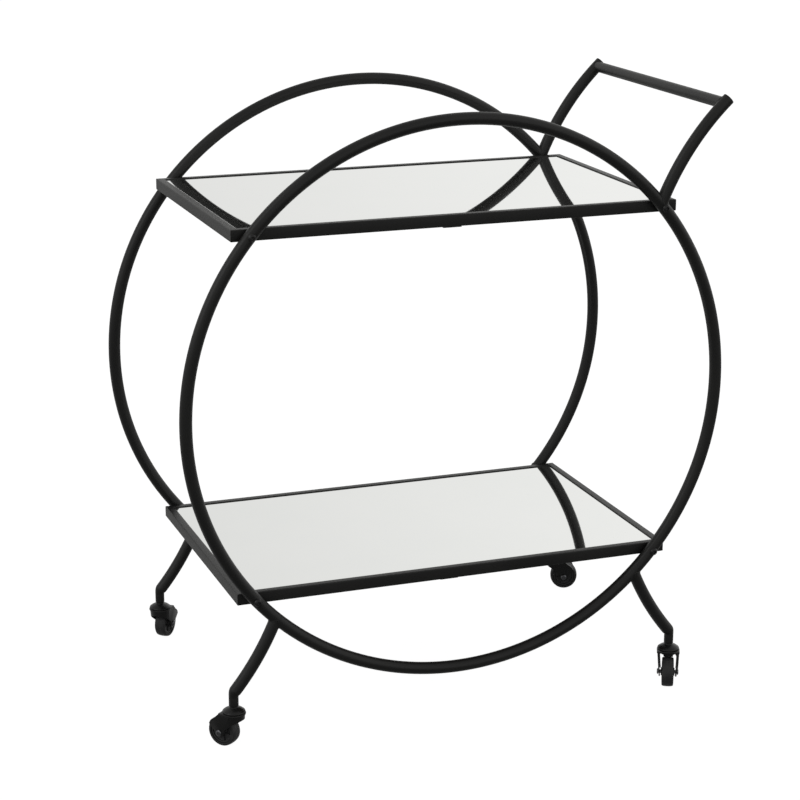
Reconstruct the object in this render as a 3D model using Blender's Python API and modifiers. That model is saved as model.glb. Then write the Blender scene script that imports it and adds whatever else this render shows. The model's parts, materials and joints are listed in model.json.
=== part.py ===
"""Bar cart on wheels: two round tube hoops, two mirror shelves between them, a push handle and four casters.

Units are metres, +Z is up and the floor is z = 0. The origin is on the floor below the middle of the hoops.
The handle is at the +X end, and the front hoop is at -Y.
"""

from math import cos, pi, radians, sin, tan

import bmesh
import bpy
from mathutils import Matrix, Vector

# Clearances
TOUCH = 0.0003  # gap between pieces that touch
PANE_CLEARANCE = 0.0006  # round the edge of a mirror or a board in its frame
RACE_CLEARANCE = 0.0004  # between the faces of a caster's swivel
WHEEL_CLEARANCE = 0.0008  # above the tread
FORK_CLEARANCE = 0.0014  # beside the hub's boss

# Frame tubes
TUBE_RADIUS = 0.008
HOOP_RADIUS = 0.360  # of the hoop's centre line, and of the bends in the arms and legs
HOOP_SEGMENTS = 60
TUBE_SIDES = 12

# Shelves, both of the same size
SHELF_ANGLE = radians(40.23)  # up or down from the hoop's side to where a shelf crosses it
SHELF_OVERHANG = 0.02215  # from that crossing to the shelf's end
SHELF_WIDTH = 0.3636
RAIL_HEIGHT = 0.015
RAIL_WIDTH = 0.010
RAIL_CORNER = 0.001
MIRROR_RECESS = 0.0012
MIRROR_THICKNESS = 0.004
MIRROR_BEVEL = 0.0008
BOARD_THICKNESS = 0.003
LIP_WIDTH = 0.006
LIP_THICKNESS = 0.0015
BRACE_WIDTH = 0.024
BRACE_THICKNESS = 0.0015
BRACE_SETBACK = 0.004
BRACE_OFFSET = -0.010

# Handle
ARM_ROOT_ANGLE = radians(41.1)  # up from the hoop's right-hand side
ARM_LEAN = radians(68.0)  # the arm's slope where it leaves the hoop
ARM_SWEEP = radians(25.6)  # its bend from there to the open end
HANDLE_RADIUS = 0.0075
HANDLE_INSET = 0.0088  # from the arm's open end to the handle's axis, along the arm
BRANCH_STEPS = 10

# Legs
LEG_ROOT_ANGLE = radians(46.15)  # down from the hoop's side
LEG_LEAN = radians(67.4)
LEG_SWEEP = radians(17.6)  # its bend from there to the caster's axis
LEG_RUN_OUT = 0.020  # extra length past that, for the cuts that end the leg
SOCKET_LENGTH = 0.0111
SOCKET_WALL = 0.0017
SOCKET_SIDES = 16

# Shelf bolts
BOLT_RADIUS = 0.003
BOLT_HEAD_RADIUS = 0.0052
BOLT_HEAD_HEIGHT = 0.0032
BOLT_SHOULDER_RADIUS = 0.0047
BOLT_SHOULDER_HEIGHT = 0.0016
BOLT_CROWN_RADIUS = 0.0030
BOLT_RIM_HEIGHT = 0.0005
BOLT_END_WALL = 0.0025  # of the rail, left beyond the bolt's end
BOLT_SIDES = 12
HEX_RADIUS = 0.0020
HEX_DEPTH = 0.0018

# Casters
WHEEL_RADIUS = 0.020
WHEEL_WIDTH = 0.0155
TREAD_DEPTH = 0.0045
TREAD_ROUNDING = 0.0025
TREAD_STEPS = 2
TREAD_SIDES = 30
HUB_SETBACK = 0.001  # of the hub's rim from each side of the tyre
HUB_RIM_THICKNESS = 0.0026
HUB_SIDES = 18
HUB_DISH = 0.0022
HUB_BOSS_RADIUS = 0.0055
HUB_BOSS_PROUD = 0.0015  # of the boss beyond each side of the tyre
CASTER_TRAIL = 0.015
AXLE_RADIUS = 0.0025
AXLE_HEAD_RADIUS = 0.0042
AXLE_HEAD_HEIGHT = 0.0016
AXLE_CROWN_RADIUS = 0.0021
AXLE_RIM_HEIGHT = 0.0006
AXLE_SIDES = 12
FORK_PLATE = 0.0018
FORK_TAPER = radians(5.0)  # how far each side leans in towards the axle
FORK_EYE_RADIUS = 0.0068
FORK_EYE_ARC = (radians(150), radians(372))
FORK_EYE_STEPS = 9
FORK_FENDER = 0.0012  # how far the sides' upper rear edge covers the wheel, past its tread
FORK_FENDER_ARC = (radians(52), radians(70))
FORK_FENDER_STEPS = 3
FORK_TIP_INSET = 0.0006  # of the rounded tip below that edge, from the tread
FORK_TIP_ANGLE = radians(46)
FORK_REAR_SETBACK = 0.0005  # of the sides' and the deck's rear edge from the crown's
FORK_LAP = 0.002  # of each side over the end of the nose's skirt
CROWN_MARGIN = 0.0005  # of the crown beyond the fork's sides
CROWN_THICKNESS = 0.0030
DECK_CORNER = 0.0020
SKIRT_DEPTH = 0.0088  # at the middle of the nose, from the crown's top
SKIRT_RAKE = radians(28)  # of its lower edge, down towards the sides
CROWN_SIDES = 20
FLANGE_RADIUS = 0.0105
FLANGE_THICKNESS = 0.0038
FLANGE_CHAMFER = 0.0010
RACE_SETBACK = 0.0007  # of the domed cup's rim from the crown's
RACE_HEIGHT = 0.0065
RACE_RIM_HEIGHT = 0.0014
RACE_SHOULDER_INSET = 0.0037
RACE_SHOULDER_HEIGHT = 0.0039
RACE_SIDES = 16
STEM_RADIUS = 0.0040
STEM_CHAMFER = 0.0010
STEM_SIDES = 14
STEM_COLLAR_WALL = 0.0013
STEM_COLLAR_HEIGHT = 0.0015
STEM_REACH = 0.0085  # how far the stem goes up its socket
SWIVEL_HEADINGS = {
    "front_left": radians(130),
    "front_right": radians(244),
    "rear_left": radians(50),
    "rear_right": radians(337),
}


def branch_end(root_angle, lean, sweep):
    """Where a tube that leaves the hoop has got to after bending by sweep.

    The place is measured from the hoop's centre, outwards and away from its middle height. The
    tube starts on the hoop's centre line with the slope lean, and bends outwards on its radius.
    """
    start = lean + pi / 2
    along = cos(root_angle) - cos(start) + cos(start - sweep)
    away = sin(root_angle) - sin(start) + sin(start - sweep)
    return HOOP_RADIUS * Vector((along, away))


# What follows from those sizes, from the floor up
TREAD_BORE = WHEEL_RADIUS - TREAD_DEPTH
HUB_WIDTH = WHEEL_WIDTH - 2 * HUB_SETBACK
HUB_BOSS_WIDTH = WHEEL_WIDTH + 2 * HUB_BOSS_PROUD
FLANGE_FOOT = 2 * WHEEL_RADIUS + WHEEL_CLEARANCE
FLANGE_TOP = FLANGE_FOOT + FLANGE_THICKNESS
CROWN_TOP = FLANGE_TOP + RACE_CLEARANCE + CROWN_THICKNESS
FORK_HALF_WIDTH = (  # over the fork's sides at its crown
    HUB_BOSS_WIDTH / 2 + FORK_CLEARANCE + FORK_PLATE + (CROWN_TOP - WHEEL_RADIUS) * tan(FORK_TAPER)
)
CROWN_RADIUS = FORK_HALF_WIDTH + CROWN_MARGIN
DECK_REAR = CROWN_RADIUS - FORK_REAR_SETBACK
SKIRT_FOOT = CROWN_TOP - SKIRT_DEPTH - FORK_HALF_WIDTH * tan(SKIRT_RAKE)  # where it meets the sides
RACE_RADIUS = CROWN_RADIUS - RACE_SETBACK
STEM_BORE = STEM_RADIUS + TOUCH
STEM_COLLAR_RADIUS = STEM_BORE + STEM_COLLAR_WALL
RACE_FOOT = CROWN_TOP + RACE_CLEARANCE
RACE_TOP = RACE_FOOT + RACE_HEIGHT
SOCKET_RADIUS = STEM_BORE + SOCKET_WALL
SOCKET_FOOT = RACE_TOP + STEM_COLLAR_HEIGHT + TOUCH
SOCKET_TOP = SOCKET_FOOT + SOCKET_LENGTH
LEG_FOOT = SOCKET_TOP + TOUCH
LEG_KNEE = branch_end(LEG_ROOT_ANGLE, LEG_LEAN, LEG_SWEEP)
LEG_SLOPE = LEG_LEAN - LEG_SWEEP
LEG_TOE = (TUBE_RADIUS - SOCKET_RADIUS * sin(LEG_SLOPE)) / cos(LEG_SLOPE)  # from the knee down
LEG_STANCE = LEG_KNEE.x  # from the middle of the cart to a caster's swivel axis
HOOP_HEIGHT = LEG_FOOT + LEG_TOE + LEG_KNEE.y  # of the hoop's centre above the floor
HOOP_Y = SHELF_WIDTH / 2 + TOUCH + TUBE_RADIUS
BOLT_X = HOOP_RADIUS * cos(SHELF_ANGLE)
BOLT_REACH = RAIL_WIDTH - BOLT_END_WALL  # how far a bolt goes into the rail
SHELF_LENGTH = 2 * (BOLT_X + SHELF_OVERHANG)
SHELF_HEIGHTS = {
    "lower": HOOP_HEIGHT - HOOP_RADIUS * sin(SHELF_ANGLE),
    "upper": HOOP_HEIGHT + HOOP_RADIUS * sin(SHELF_ANGLE),
}
CORNERS = {
    "front_left": (-1, -1),
    "front_right": (1, -1),
    "rear_left": (-1, 1),
    "rear_right": (1, 1),
}


def clear_scene():
    for item in list(bpy.data.objects):
        bpy.data.objects.remove(item, do_unlink=True)
    for item in list(bpy.data.collections):
        bpy.data.collections.remove(item)


def new_collection(name):
    collection = bpy.data.collections.new(name)
    bpy.context.scene.collection.children.link(collection)
    return collection


def new_material(name, colour, roughness, metallic):
    material = bpy.data.materials.new(name)
    material.use_nodes = True
    shader = material.node_tree.nodes["Principled BSDF"]
    shader.inputs["Base Color"].default_value = (*colour, 1)
    shader.inputs["Roughness"].default_value = roughness
    shader.inputs["Metallic"].default_value = metallic
    material.diffuse_color = (*colour, 1)
    return material


def add_object(name, data, collection, material=None, smooth=True):
    """A new object that shows data, shaded smooth up to its sharp edges."""
    item = bpy.data.objects.new(name, data)
    collection.objects.link(item)
    if material:
        data.materials.clear()
        data.materials.append(material)
    if smooth:
        data.shade_smooth()
        data.set_sharp_from_angle(angle=radians(35))
    return item


def settle_mesh(mesh):
    """Joins points that lie on each other and turns every face outwards."""
    shape = bmesh.new()
    shape.from_mesh(mesh)
    bmesh.ops.remove_doubles(shape, verts=shape.verts, dist=0.00001)
    bmesh.ops.recalc_face_normals(shape, faces=shape.faces)
    shape.to_mesh(mesh)
    shape.free()


def apply_modifiers(item):
    """Replaces an object's data by its evaluated mesh, so that its modifiers are no longer needed."""
    bpy.context.view_layer.update()
    graph = bpy.context.evaluated_depsgraph_get()
    mesh = bpy.data.meshes.new_from_object(item.evaluated_get(graph), depsgraph=graph)
    mesh.name = item.name
    item.modifiers.clear()
    item.data = mesh
    return item


def box_mesh(name, size, centre=(0, 0, 0)):
    shape = bmesh.new()
    placed = Matrix.Translation(centre) @ Matrix.Diagonal((*size, 1))
    bmesh.ops.create_cube(shape, size=1, matrix=placed)
    mesh = bpy.data.meshes.new(name)
    shape.to_mesh(mesh)
    shape.free()
    return mesh


def cylinder_mesh(name, radius, depth, sides, centre=(0, 0, 0)):
    shape = bmesh.new()
    bmesh.ops.create_cone(
        shape,
        cap_ends=True,
        segments=sides,
        radius1=radius,
        radius2=radius,
        depth=depth,
        matrix=Matrix.Translation(centre),
    )
    mesh = bpy.data.meshes.new(name)
    shape.to_mesh(mesh)
    shape.free()
    return mesh


def turned_mesh(name, profile, sides):
    """A solid of revolution about Z. The profile runs down the outer side as (radius, height) pairs."""
    mesh = bpy.data.meshes.new(name)
    points = [(radius, 0, height) for radius, height in profile]
    edges = [(i, i + 1) for i in range(len(points) - 1)]
    mesh.from_pydata(points, edges, [])
    item = bpy.data.objects.new(name, mesh)
    bpy.context.scene.collection.objects.link(item)
    screw = item.modifiers.new("turn", "SCREW")
    screw.steps = sides
    screw.render_steps = sides
    screw.use_merge_vertices = True
    screw.merge_threshold = 0.00001
    apply_modifiers(item)
    turned = item.data
    bpy.data.objects.remove(item)
    settle_mesh(turned)
    return turned


def turned_ring_mesh(name, profile, sides):
    """A ring about Z. The profile is closed: it runs down the outer side and back up the bore."""
    return turned_mesh(name, [*profile, profile[0]], sides)


def outline_mesh(name, outline, thickness):
    """A flat outline in its own XY plane, extruded to both sides of it."""
    curve = bpy.data.curves.new(name, "CURVE")
    curve.dimensions = "2D"
    curve.fill_mode = "BOTH"
    curve.extrude = thickness / 2
    spline = curve.splines.new("POLY")
    spline.points.add(len(outline) - 1)
    for point, (x, y) in zip(spline.points, outline):
        point.co = (x, y, 0, 1)
    spline.use_cyclic_u = True
    return mesh_of_curve(curve)


def tube_mesh(name, route, radius):
    """A round bar with flat ends along a route of points."""
    curve = bpy.data.curves.new(name, "CURVE")
    curve.dimensions = "3D"
    curve.bevel_depth = radius
    curve.bevel_resolution = TUBE_SIDES // 2 - 2
    curve.use_fill_caps = True
    spline = curve.splines.new("POLY")
    spline.points.add(len(route) - 1)
    for point, place in zip(spline.points, route):
        point.co = (*place, 1)
    return mesh_of_curve(curve)


def mesh_of_curve(curve):
    item = bpy.data.objects.new(curve.name, curve)
    bpy.context.scene.collection.objects.link(item)
    bpy.context.view_layer.update()
    graph = bpy.context.evaluated_depsgraph_get()
    mesh = bpy.data.meshes.new_from_object(item.evaluated_get(graph), depsgraph=graph)
    mesh.name = curve.name
    bpy.data.objects.remove(item)
    bpy.data.curves.remove(curve)
    settle_mesh(mesh)
    return mesh


def cut_by_plane(mesh, point, outward):
    """Takes away what lies beyond a plane, and closes the cut."""
    shape = bmesh.new()
    shape.from_mesh(mesh)
    everything = [*shape.verts, *shape.edges, *shape.faces]
    bmesh.ops.bisect_plane(
        shape,
        geom=everything,
        plane_co=point,
        plane_no=outward,
        clear_outer=True,
        dist=0.000001,
    )
    rim = [edge for edge in shape.edges if edge.is_boundary]
    bmesh.ops.holes_fill(shape, edges=rim)
    bmesh.ops.recalc_face_normals(shape, faces=shape.faces)
    shape.to_mesh(mesh)
    shape.free()


def boolean(item, operation, others):
    """Cuts or joins the others into an object, and keeps the result as its mesh."""
    for other in others:
        modifier = item.modifiers.new(other.name, "BOOLEAN")
        modifier.operation = operation
        modifier.object = other
        modifier.solver = "EXACT"
    apply_modifiers(item)
    settle_mesh(item.data)
    item.data.shade_smooth()
    item.data.set_sharp_from_angle(angle=radians(35))


def add_cutter(name, mesh, matrix=None):
    cutter = add_object(name, mesh, CUTTERS, smooth=False)
    if matrix:
        cutter.matrix_world = matrix
    cutter.hide_render = True
    cutter.display_type = "WIRE"
    return cutter


def along_y(x, y, z):
    """The placing of a mesh whose own Z axis is to lie along the world's +Y."""
    return Matrix.Translation((x, y, z)) @ Matrix.Rotation(-pi / 2, 4, "X")


# ---------------------------------------------------------------- frame tubes


def hoop_place(front_or_rear):
    return along_y(0, front_or_rear * HOOP_Y, HOOP_HEIGHT)


def ring_mesh(name, tube_radius):
    bpy.ops.mesh.primitive_torus_add(
        major_segments=HOOP_SEGMENTS,
        minor_segments=TUBE_SIDES,
        major_radius=HOOP_RADIUS,
        minor_radius=tube_radius,
    )
    item = bpy.context.object
    mesh = item.data
    mesh.name = name
    bpy.data.objects.remove(item)
    return mesh


def bolt_places():
    """(name, left or right, front or rear, upper or lower height) of each shelf bolt."""
    for level, height in SHELF_HEIGHTS.items():
        for corner, (side, depth) in CORNERS.items():
            yield f"{level}_{corner}", side * BOLT_X, depth, height


def add_hoops():
    """Each hoop has a clearance hole where a bolt goes through it into each shelf."""
    for name, depth in (("front", -1), ("rear", 1)):
        hoop = add_object(f"hoop_{name}", ring_mesh(f"hoop_{name}", TUBE_RADIUS), PARTS, POWDER_COAT)
        hoop.matrix_world = hoop_place(depth)
        boolean(hoop, "DIFFERENCE", [c for c in BOLT_CUTTERS if c["depth"] == depth])


def branch_route(root_angle, lean, sweep, run_out):
    """The centre line of an arm or a leg, lengthened past its end by the length run_out."""
    whole = sweep + run_out / HOOP_RADIUS
    return [branch_end(root_angle, lean, whole * step / BRANCH_STEPS) for step in range(BRANCH_STEPS + 1)]


def arm_mesh(name, radius, depth, run_out=0.0):
    route = branch_route(ARM_ROOT_ANGLE, ARM_LEAN, ARM_SWEEP, run_out)
    return tube_mesh(name, [(x, depth * HOOP_Y, HOOP_HEIGHT + z) for x, z in route], radius)


def add_handle():
    """Two arms that leave the hoops, and a round bar between them just below their open ends."""
    place = branch_end(ARM_ROOT_ANGLE, ARM_LEAN, ARM_SWEEP - HANDLE_INSET / HOOP_RADIUS)
    bar = cylinder_mesh("handle_bar", HANDLE_RADIUS, 2 * HOOP_Y, TUBE_SIDES)
    handle = add_object("handle_bar", bar, PARTS, POWDER_COAT)
    handle.matrix_world = along_y(place.x, 0, HOOP_HEIGHT + place.y)
    saddles = []
    for name, depth in (("front", -1), ("rear", 1)):
        arm = add_object(f"arm_{name}", arm_mesh(f"arm_{name}", TUBE_RADIUS, depth), PARTS, POWDER_COAT)
        boolean(arm, "DIFFERENCE", [HOOP_CUTTERS[depth]])
        saddle = arm_mesh(f"saddle_{name}", TUBE_RADIUS + TOUCH, depth, run_out=TUBE_RADIUS)
        saddles.append(add_cutter(f"saddle_{name}", saddle))
    boolean(handle, "DIFFERENCE", saddles)


def add_leg(corner, side, depth):
    route = branch_route(LEG_ROOT_ANGLE, LEG_LEAN, LEG_SWEEP, LEG_RUN_OUT)
    points = [(side * x, depth * HOOP_Y, HOOP_HEIGHT - z) for x, z in route]
    mesh = tube_mesh(f"leg_{corner}", points, TUBE_RADIUS)
    cut_by_plane(mesh, (side * (LEG_STANCE + SOCKET_RADIUS), 0, 0), (side, 0, 0))
    cut_by_plane(mesh, (0, 0, LEG_FOOT), (0, 0, -1))
    leg = add_object(f"leg_{corner}", mesh, PARTS, POWDER_COAT)
    boolean(leg, "DIFFERENCE", [HOOP_CUTTERS[depth]])


def add_socket(corner, place):
    """The bush welded below a leg, which a caster's stem goes up into."""
    profile = [
        (STEM_BORE, SOCKET_TOP),
        (SOCKET_RADIUS, SOCKET_TOP),
        (SOCKET_RADIUS, SOCKET_FOOT),
        (STEM_BORE, SOCKET_FOOT),
    ]
    name = f"stem_socket_{corner}"
    socket = add_object(name, turned_ring_mesh(name, profile, SOCKET_SIDES), PARTS, POWDER_COAT)
    socket.matrix_world = Matrix.Translation(place)


# ---------------------------------------------------------------- shelves


def rail_outline():
    """A rail's section as (inwards, up) from the foot of its outer face, with the board's lip."""
    corner = RAIL_CORNER
    lip_top = RAIL_HEIGHT - MIRROR_RECESS - MIRROR_THICKNESS - BOARD_THICKNESS - 2 * TOUCH
    lip_foot = lip_top - LIP_THICKNESS
    lip_end = RAIL_WIDTH + LIP_WIDTH
    return [
        (corner, 0),
        (RAIL_WIDTH - corner, 0),
        (RAIL_WIDTH, corner),
        (RAIL_WIDTH, lip_foot),
        (lip_end, lip_foot),
        (lip_end, lip_top),
        (RAIL_WIDTH, lip_top),
        (RAIL_WIDTH, RAIL_HEIGHT - corner / 2),
        (RAIL_WIDTH - corner / 2, RAIL_HEIGHT),
        (corner, RAIL_HEIGHT),
        (0, RAIL_HEIGHT - corner),
        (0, corner),
    ]


def rail_mesh(name, length):
    """A rail along X with its outer face at y = 0, its inside towards +Y and a mitre at each end."""
    mesh = outline_mesh(name, rail_outline(), length)
    mesh.transform(Matrix.Rotation(pi / 2, 4, "Z") @ Matrix.Rotation(pi / 2, 4, "X"))
    settle_mesh(mesh)
    half = length / 2 - TOUCH / 2
    for end in (-1, 1):
        cut_by_plane(mesh, (end * half, 0, 0), (end, 1, 0))
    return mesh


def add_shelf(level, height):
    foot = height - RAIL_HEIGHT / 2
    sides = (
        ("front", SHELF_LENGTH, (0, -SHELF_WIDTH / 2), 0),
        ("right", SHELF_WIDTH, (SHELF_LENGTH / 2, 0), pi / 2),
        ("rear", SHELF_LENGTH, (0, SHELF_WIDTH / 2), pi),
        ("left", SHELF_WIDTH, (-SHELF_LENGTH / 2, 0), -pi / 2),
    )
    for side, length, (x, y), turn in sides:
        name = f"{level}_rail_{side}"
        rail = add_object(name, rail_mesh(name, length), PARTS, POWDER_COAT)
        rail.matrix_world = Matrix.Translation((x, y, foot)) @ Matrix.Rotation(turn, 4, "Z")
        if side in ("front", "rear"):
            depth = -1 if side == "front" else 1
            bolts = [c for c in BOLT_CUTTERS if c["depth"] == depth and c["level"] == height]
            boolean(rail, "DIFFERENCE", bolts)

    inner_length = SHELF_LENGTH - 2 * RAIL_WIDTH - 2 * PANE_CLEARANCE
    inner_width = SHELF_WIDTH - 2 * RAIL_WIDTH - 2 * PANE_CLEARANCE
    mirror_top = foot + RAIL_HEIGHT - MIRROR_RECESS
    size = (inner_length, inner_width, MIRROR_THICKNESS)
    pane = box_mesh(f"{level}_mirror", size, (0, 0, -MIRROR_THICKNESS / 2))
    mirror = add_object(pane.name, pane, PARTS, MIRROR_GLASS, smooth=False)
    mirror.location.z = mirror_top
    bevel = mirror.modifiers.new("arris", "BEVEL")
    bevel.width = MIRROR_BEVEL
    bevel.segments = 1

    board_top = mirror_top - MIRROR_THICKNESS - TOUCH
    size = (inner_length, inner_width, BOARD_THICKNESS)
    panel = box_mesh(f"{level}_backing_board", size, (0, 0, -BOARD_THICKNESS / 2))
    board = add_object(panel.name, panel, PARTS, BOARD, smooth=False)
    board.location.z = board_top

    size = (BRACE_WIDTH, SHELF_WIDTH - 2 * BRACE_SETBACK, BRACE_THICKNESS)
    strip = box_mesh(f"{level}_brace", size, (BRACE_OFFSET, 0, -BRACE_THICKNESS / 2))
    brace = add_object(strip.name, strip, PARTS, POWDER_COAT, smooth=False)
    brace.location.z = foot - TOUCH


# ---------------------------------------------------------------- bolts


def add_bolt_cutters():
    """The holes for the shelf bolts: through each hoop and into each rail."""
    cutters = []
    length = 2 * TUBE_RADIUS + TOUCH + BOLT_REACH + TOUCH
    for name, x, depth, height in bolt_places():
        bore = cylinder_mesh(f"bolt_hole_{name}", BOLT_RADIUS + TOUCH, 2 * length, BOLT_SIDES)
        outer = HOOP_Y + TUBE_RADIUS
        cutter = add_cutter(bore.name, bore, along_y(x, depth * outer, height))
        cutter["depth"] = depth
        cutter["level"] = height
        cutters.append(cutter)
    return cutters


def add_bolts():
    """Button-head bolts with a hexagonal socket, put in from outside the hoops."""
    shank = 2 * TUBE_RADIUS + 2 * TOUCH + BOLT_REACH
    profile = [
        (0, BOLT_HEAD_HEIGHT),
        (BOLT_CROWN_RADIUS, BOLT_HEAD_HEIGHT),
        (BOLT_SHOULDER_RADIUS, BOLT_SHOULDER_HEIGHT),
        (BOLT_HEAD_RADIUS, BOLT_RIM_HEIGHT),
        (BOLT_HEAD_RADIUS, 0),
        (BOLT_RADIUS, 0),
        (BOLT_RADIUS, -shank),
        (0, -shank),
    ]
    mesh = turned_mesh("shelf_bolt", profile, BOLT_SIDES)
    for name, x, depth, height in bolt_places():
        bolt = add_object(f"bolt_{name}", mesh.copy(), PARTS, BOLT_STEEL)
        seat = depth * (HOOP_Y + TUBE_RADIUS + TOUCH)
        # The bolt's own +Z points out of its head.
        outward = Matrix.Rotation(depth * -pi / 2, 4, "X")
        bolt.matrix_world = Matrix.Translation((x, seat, height)) @ outward
        recess = cylinder_mesh(f"hex_{name}", HEX_RADIUS, 2 * HEX_DEPTH, 6, (0, 0, BOLT_HEAD_HEIGHT))
        cutter = add_cutter(recess.name, recess, bolt.matrix_world)
        boolean(bolt, "DIFFERENCE", [cutter])


# ---------------------------------------------------------------- casters


def add_stem(corner, place):
    """The stem, with the flange that carries the fork from below, all turned from one piece."""
    top = SOCKET_FOOT + STEM_REACH
    profile = [
        (0, top),
        (STEM_RADIUS - STEM_CHAMFER, top),
        (STEM_RADIUS, top - STEM_CHAMFER),
        (STEM_RADIUS, FLANGE_TOP),
        (FLANGE_RADIUS, FLANGE_TOP),
        (FLANGE_RADIUS, FLANGE_FOOT + FLANGE_CHAMFER),
        (FLANGE_RADIUS - FLANGE_CHAMFER, FLANGE_FOOT),
        (0, FLANGE_FOOT),
    ]
    name = f"caster_stem_{corner}"
    stem = add_object(name, turned_mesh(name, profile, STEM_SIDES), PARTS, BLACK_STEEL)
    stem.matrix_world = Matrix.Translation(place)


def add_race(corner, place):
    """The domed cup above the fork, with the stem's collar on top of it."""
    profile = [
        (STEM_BORE, RACE_TOP + STEM_COLLAR_HEIGHT),
        (STEM_COLLAR_RADIUS, RACE_TOP + STEM_COLLAR_HEIGHT),
        (STEM_COLLAR_RADIUS, RACE_TOP),
        (RACE_RADIUS - RACE_SHOULDER_INSET, RACE_FOOT + RACE_SHOULDER_HEIGHT),
        (RACE_RADIUS, RACE_FOOT + RACE_RIM_HEIGHT),
        (RACE_RADIUS, RACE_FOOT),
        (STEM_BORE, RACE_FOOT),
    ]
    name = f"caster_race_{corner}"
    race = add_object(name, turned_ring_mesh(name, profile, RACE_SIDES), PARTS, BLACK_STEEL)
    race.matrix_world = Matrix.Translation(place)


def arc_points(centre, radius, first, last, steps):
    """Points along an arc, both ends included."""
    angles = [first + (last - first) * step / steps for step in range(steps + 1)]
    return [(centre.x + radius * cos(angle), centre.y + radius * sin(angle)) for angle in angles]


def fork_side_outline():
    """One side of the fork, seen from the side: (along the trail, height)."""
    eye = Vector((CASTER_TRAIL, WHEEL_RADIUS))
    top = CROWN_TOP - CROWN_THICKNESS / 2
    foot = SKIRT_FOOT + FORK_LAP * tan(SKIRT_RAKE) - TOUCH
    tip = (WHEEL_RADIUS - FORK_TIP_INSET) * Vector((cos(FORK_TIP_ANGLE), sin(FORK_TIP_ANGLE)))
    corners = [(DECK_REAR, top), (-FORK_LAP, top), (-FORK_LAP, foot)]
    corners += arc_points(eye, FORK_EYE_RADIUS, *FORK_EYE_ARC, FORK_EYE_STEPS)
    corners.append(eye + tip)
    corners += arc_points(eye, WHEEL_RADIUS + FORK_FENDER, *FORK_FENDER_ARC, FORK_FENDER_STEPS)
    return corners


def fork_side_mesh(side):
    """A fork side that leans in towards the axle, with the crown's edge as its upper end."""
    mesh = outline_mesh("fork_side", fork_side_outline(), FORK_PLATE)
    upright = Matrix.Rotation(pi / 2, 4, "X")
    lean = Matrix.Rotation(-side * FORK_TAPER, 4, "X")
    hinge = Matrix.Translation((0, 0, CROWN_TOP))
    outwards = Matrix.Translation((0, side * (FORK_HALF_WIDTH - FORK_PLATE / 2), 0))
    mesh.transform(outwards @ hinge @ lean @ hinge.inverted() @ upright)
    return mesh


def fork_nose_mesh():
    """The skirt round the front of the crown: half of a tapering ring, with a raked lower edge."""
    wall = FORK_PLATE - 2 * TOUCH
    top = CROWN_TOP - CROWN_THICKNESS / 2
    top_radius = FORK_HALF_WIDTH - TOUCH - CROWN_THICKNESS / 2 * tan(FORK_TAPER)
    foot_radius = FORK_HALF_WIDTH - TOUCH - (CROWN_TOP - SKIRT_FOOT) * tan(FORK_TAPER)
    profile = [
        (top_radius, top),
        (foot_radius, SKIRT_FOOT),
        (foot_radius - wall, SKIRT_FOOT),
        (top_radius - wall, top),
    ]
    mesh = turned_ring_mesh("fork_nose", profile, CROWN_SIDES)
    cut_by_plane(mesh, (0, 0, 0), (1, 0, 0))
    middle = (-FORK_HALF_WIDTH, 0, CROWN_TOP - SKIRT_DEPTH)
    cut_by_plane(mesh, middle, (-sin(SKIRT_RAKE), 0, -cos(SKIRT_RAKE)))
    return mesh


def fork_crown_mesh():
    """The plate on top of the fork: round at its nose and square at its rear."""
    half = CROWN_RADIUS
    square = DECK_REAR - DECK_CORNER
    outline = arc_points(Vector((0, 0)), half, pi / 2, 3 * pi / 2, CROWN_SIDES // 2)
    outline += [
        (square, -half),
        (DECK_REAR, DECK_CORNER - half),
        (DECK_REAR, half - DECK_CORNER),
        (square, half),
    ]
    mesh = outline_mesh("fork", outline, CROWN_THICKNESS)
    mesh.transform(Matrix.Translation((0, 0, CROWN_TOP - CROWN_THICKNESS / 2)))
    return mesh


def fork_mesh():
    """A crown plate with a hole for the stem, a skirt round its nose, and two sides that carry the axle."""
    fork = add_object("fork", fork_crown_mesh(), CUTTERS, BLACK_STEEL)
    additions = [add_cutter(f"fork_side_{side}", fork_side_mesh(side)) for side in (-1, 1)]
    additions.append(add_cutter("fork_nose", fork_nose_mesh()))
    boolean(fork, "UNION", additions)
    bore = cylinder_mesh("axle_bore", AXLE_RADIUS + TOUCH, 4 * FORK_HALF_WIDTH, AXLE_SIDES)
    axle_bore = add_cutter("axle_bore", bore, along_y(CASTER_TRAIL, 0, WHEEL_RADIUS))
    bore = cylinder_mesh("stem_bore", STEM_BORE, 4 * CROWN_TOP, STEM_SIDES)
    stem_bore = add_cutter("stem_bore", bore)
    boolean(fork, "DIFFERENCE", [axle_bore, stem_bore])
    mesh = fork.data
    bpy.data.objects.remove(fork)
    return mesh


def fork_outer_at_axle():
    """Half the width over the fork's sides at the top of the axle's heads, where it is widest."""
    drop = CROWN_TOP - WHEEL_RADIUS - AXLE_HEAD_RADIUS
    return FORK_HALF_WIDTH - drop * tan(FORK_TAPER)


def axle_mesh():
    seat = fork_outer_at_axle() + TOUCH
    end = seat + AXLE_HEAD_HEIGHT
    profile = [
        (0, end),
        (AXLE_CROWN_RADIUS, end),
        (AXLE_HEAD_RADIUS, seat + AXLE_RIM_HEIGHT),
        (AXLE_HEAD_RADIUS, seat),
        (AXLE_RADIUS, seat),
        (AXLE_RADIUS, -seat),
        (AXLE_HEAD_RADIUS, -seat),
        (AXLE_HEAD_RADIUS, -seat - AXLE_RIM_HEIGHT),
        (AXLE_CROWN_RADIUS, -end),
        (0, -end),
    ]
    return turned_mesh("axle", profile, AXLE_SIDES)


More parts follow.
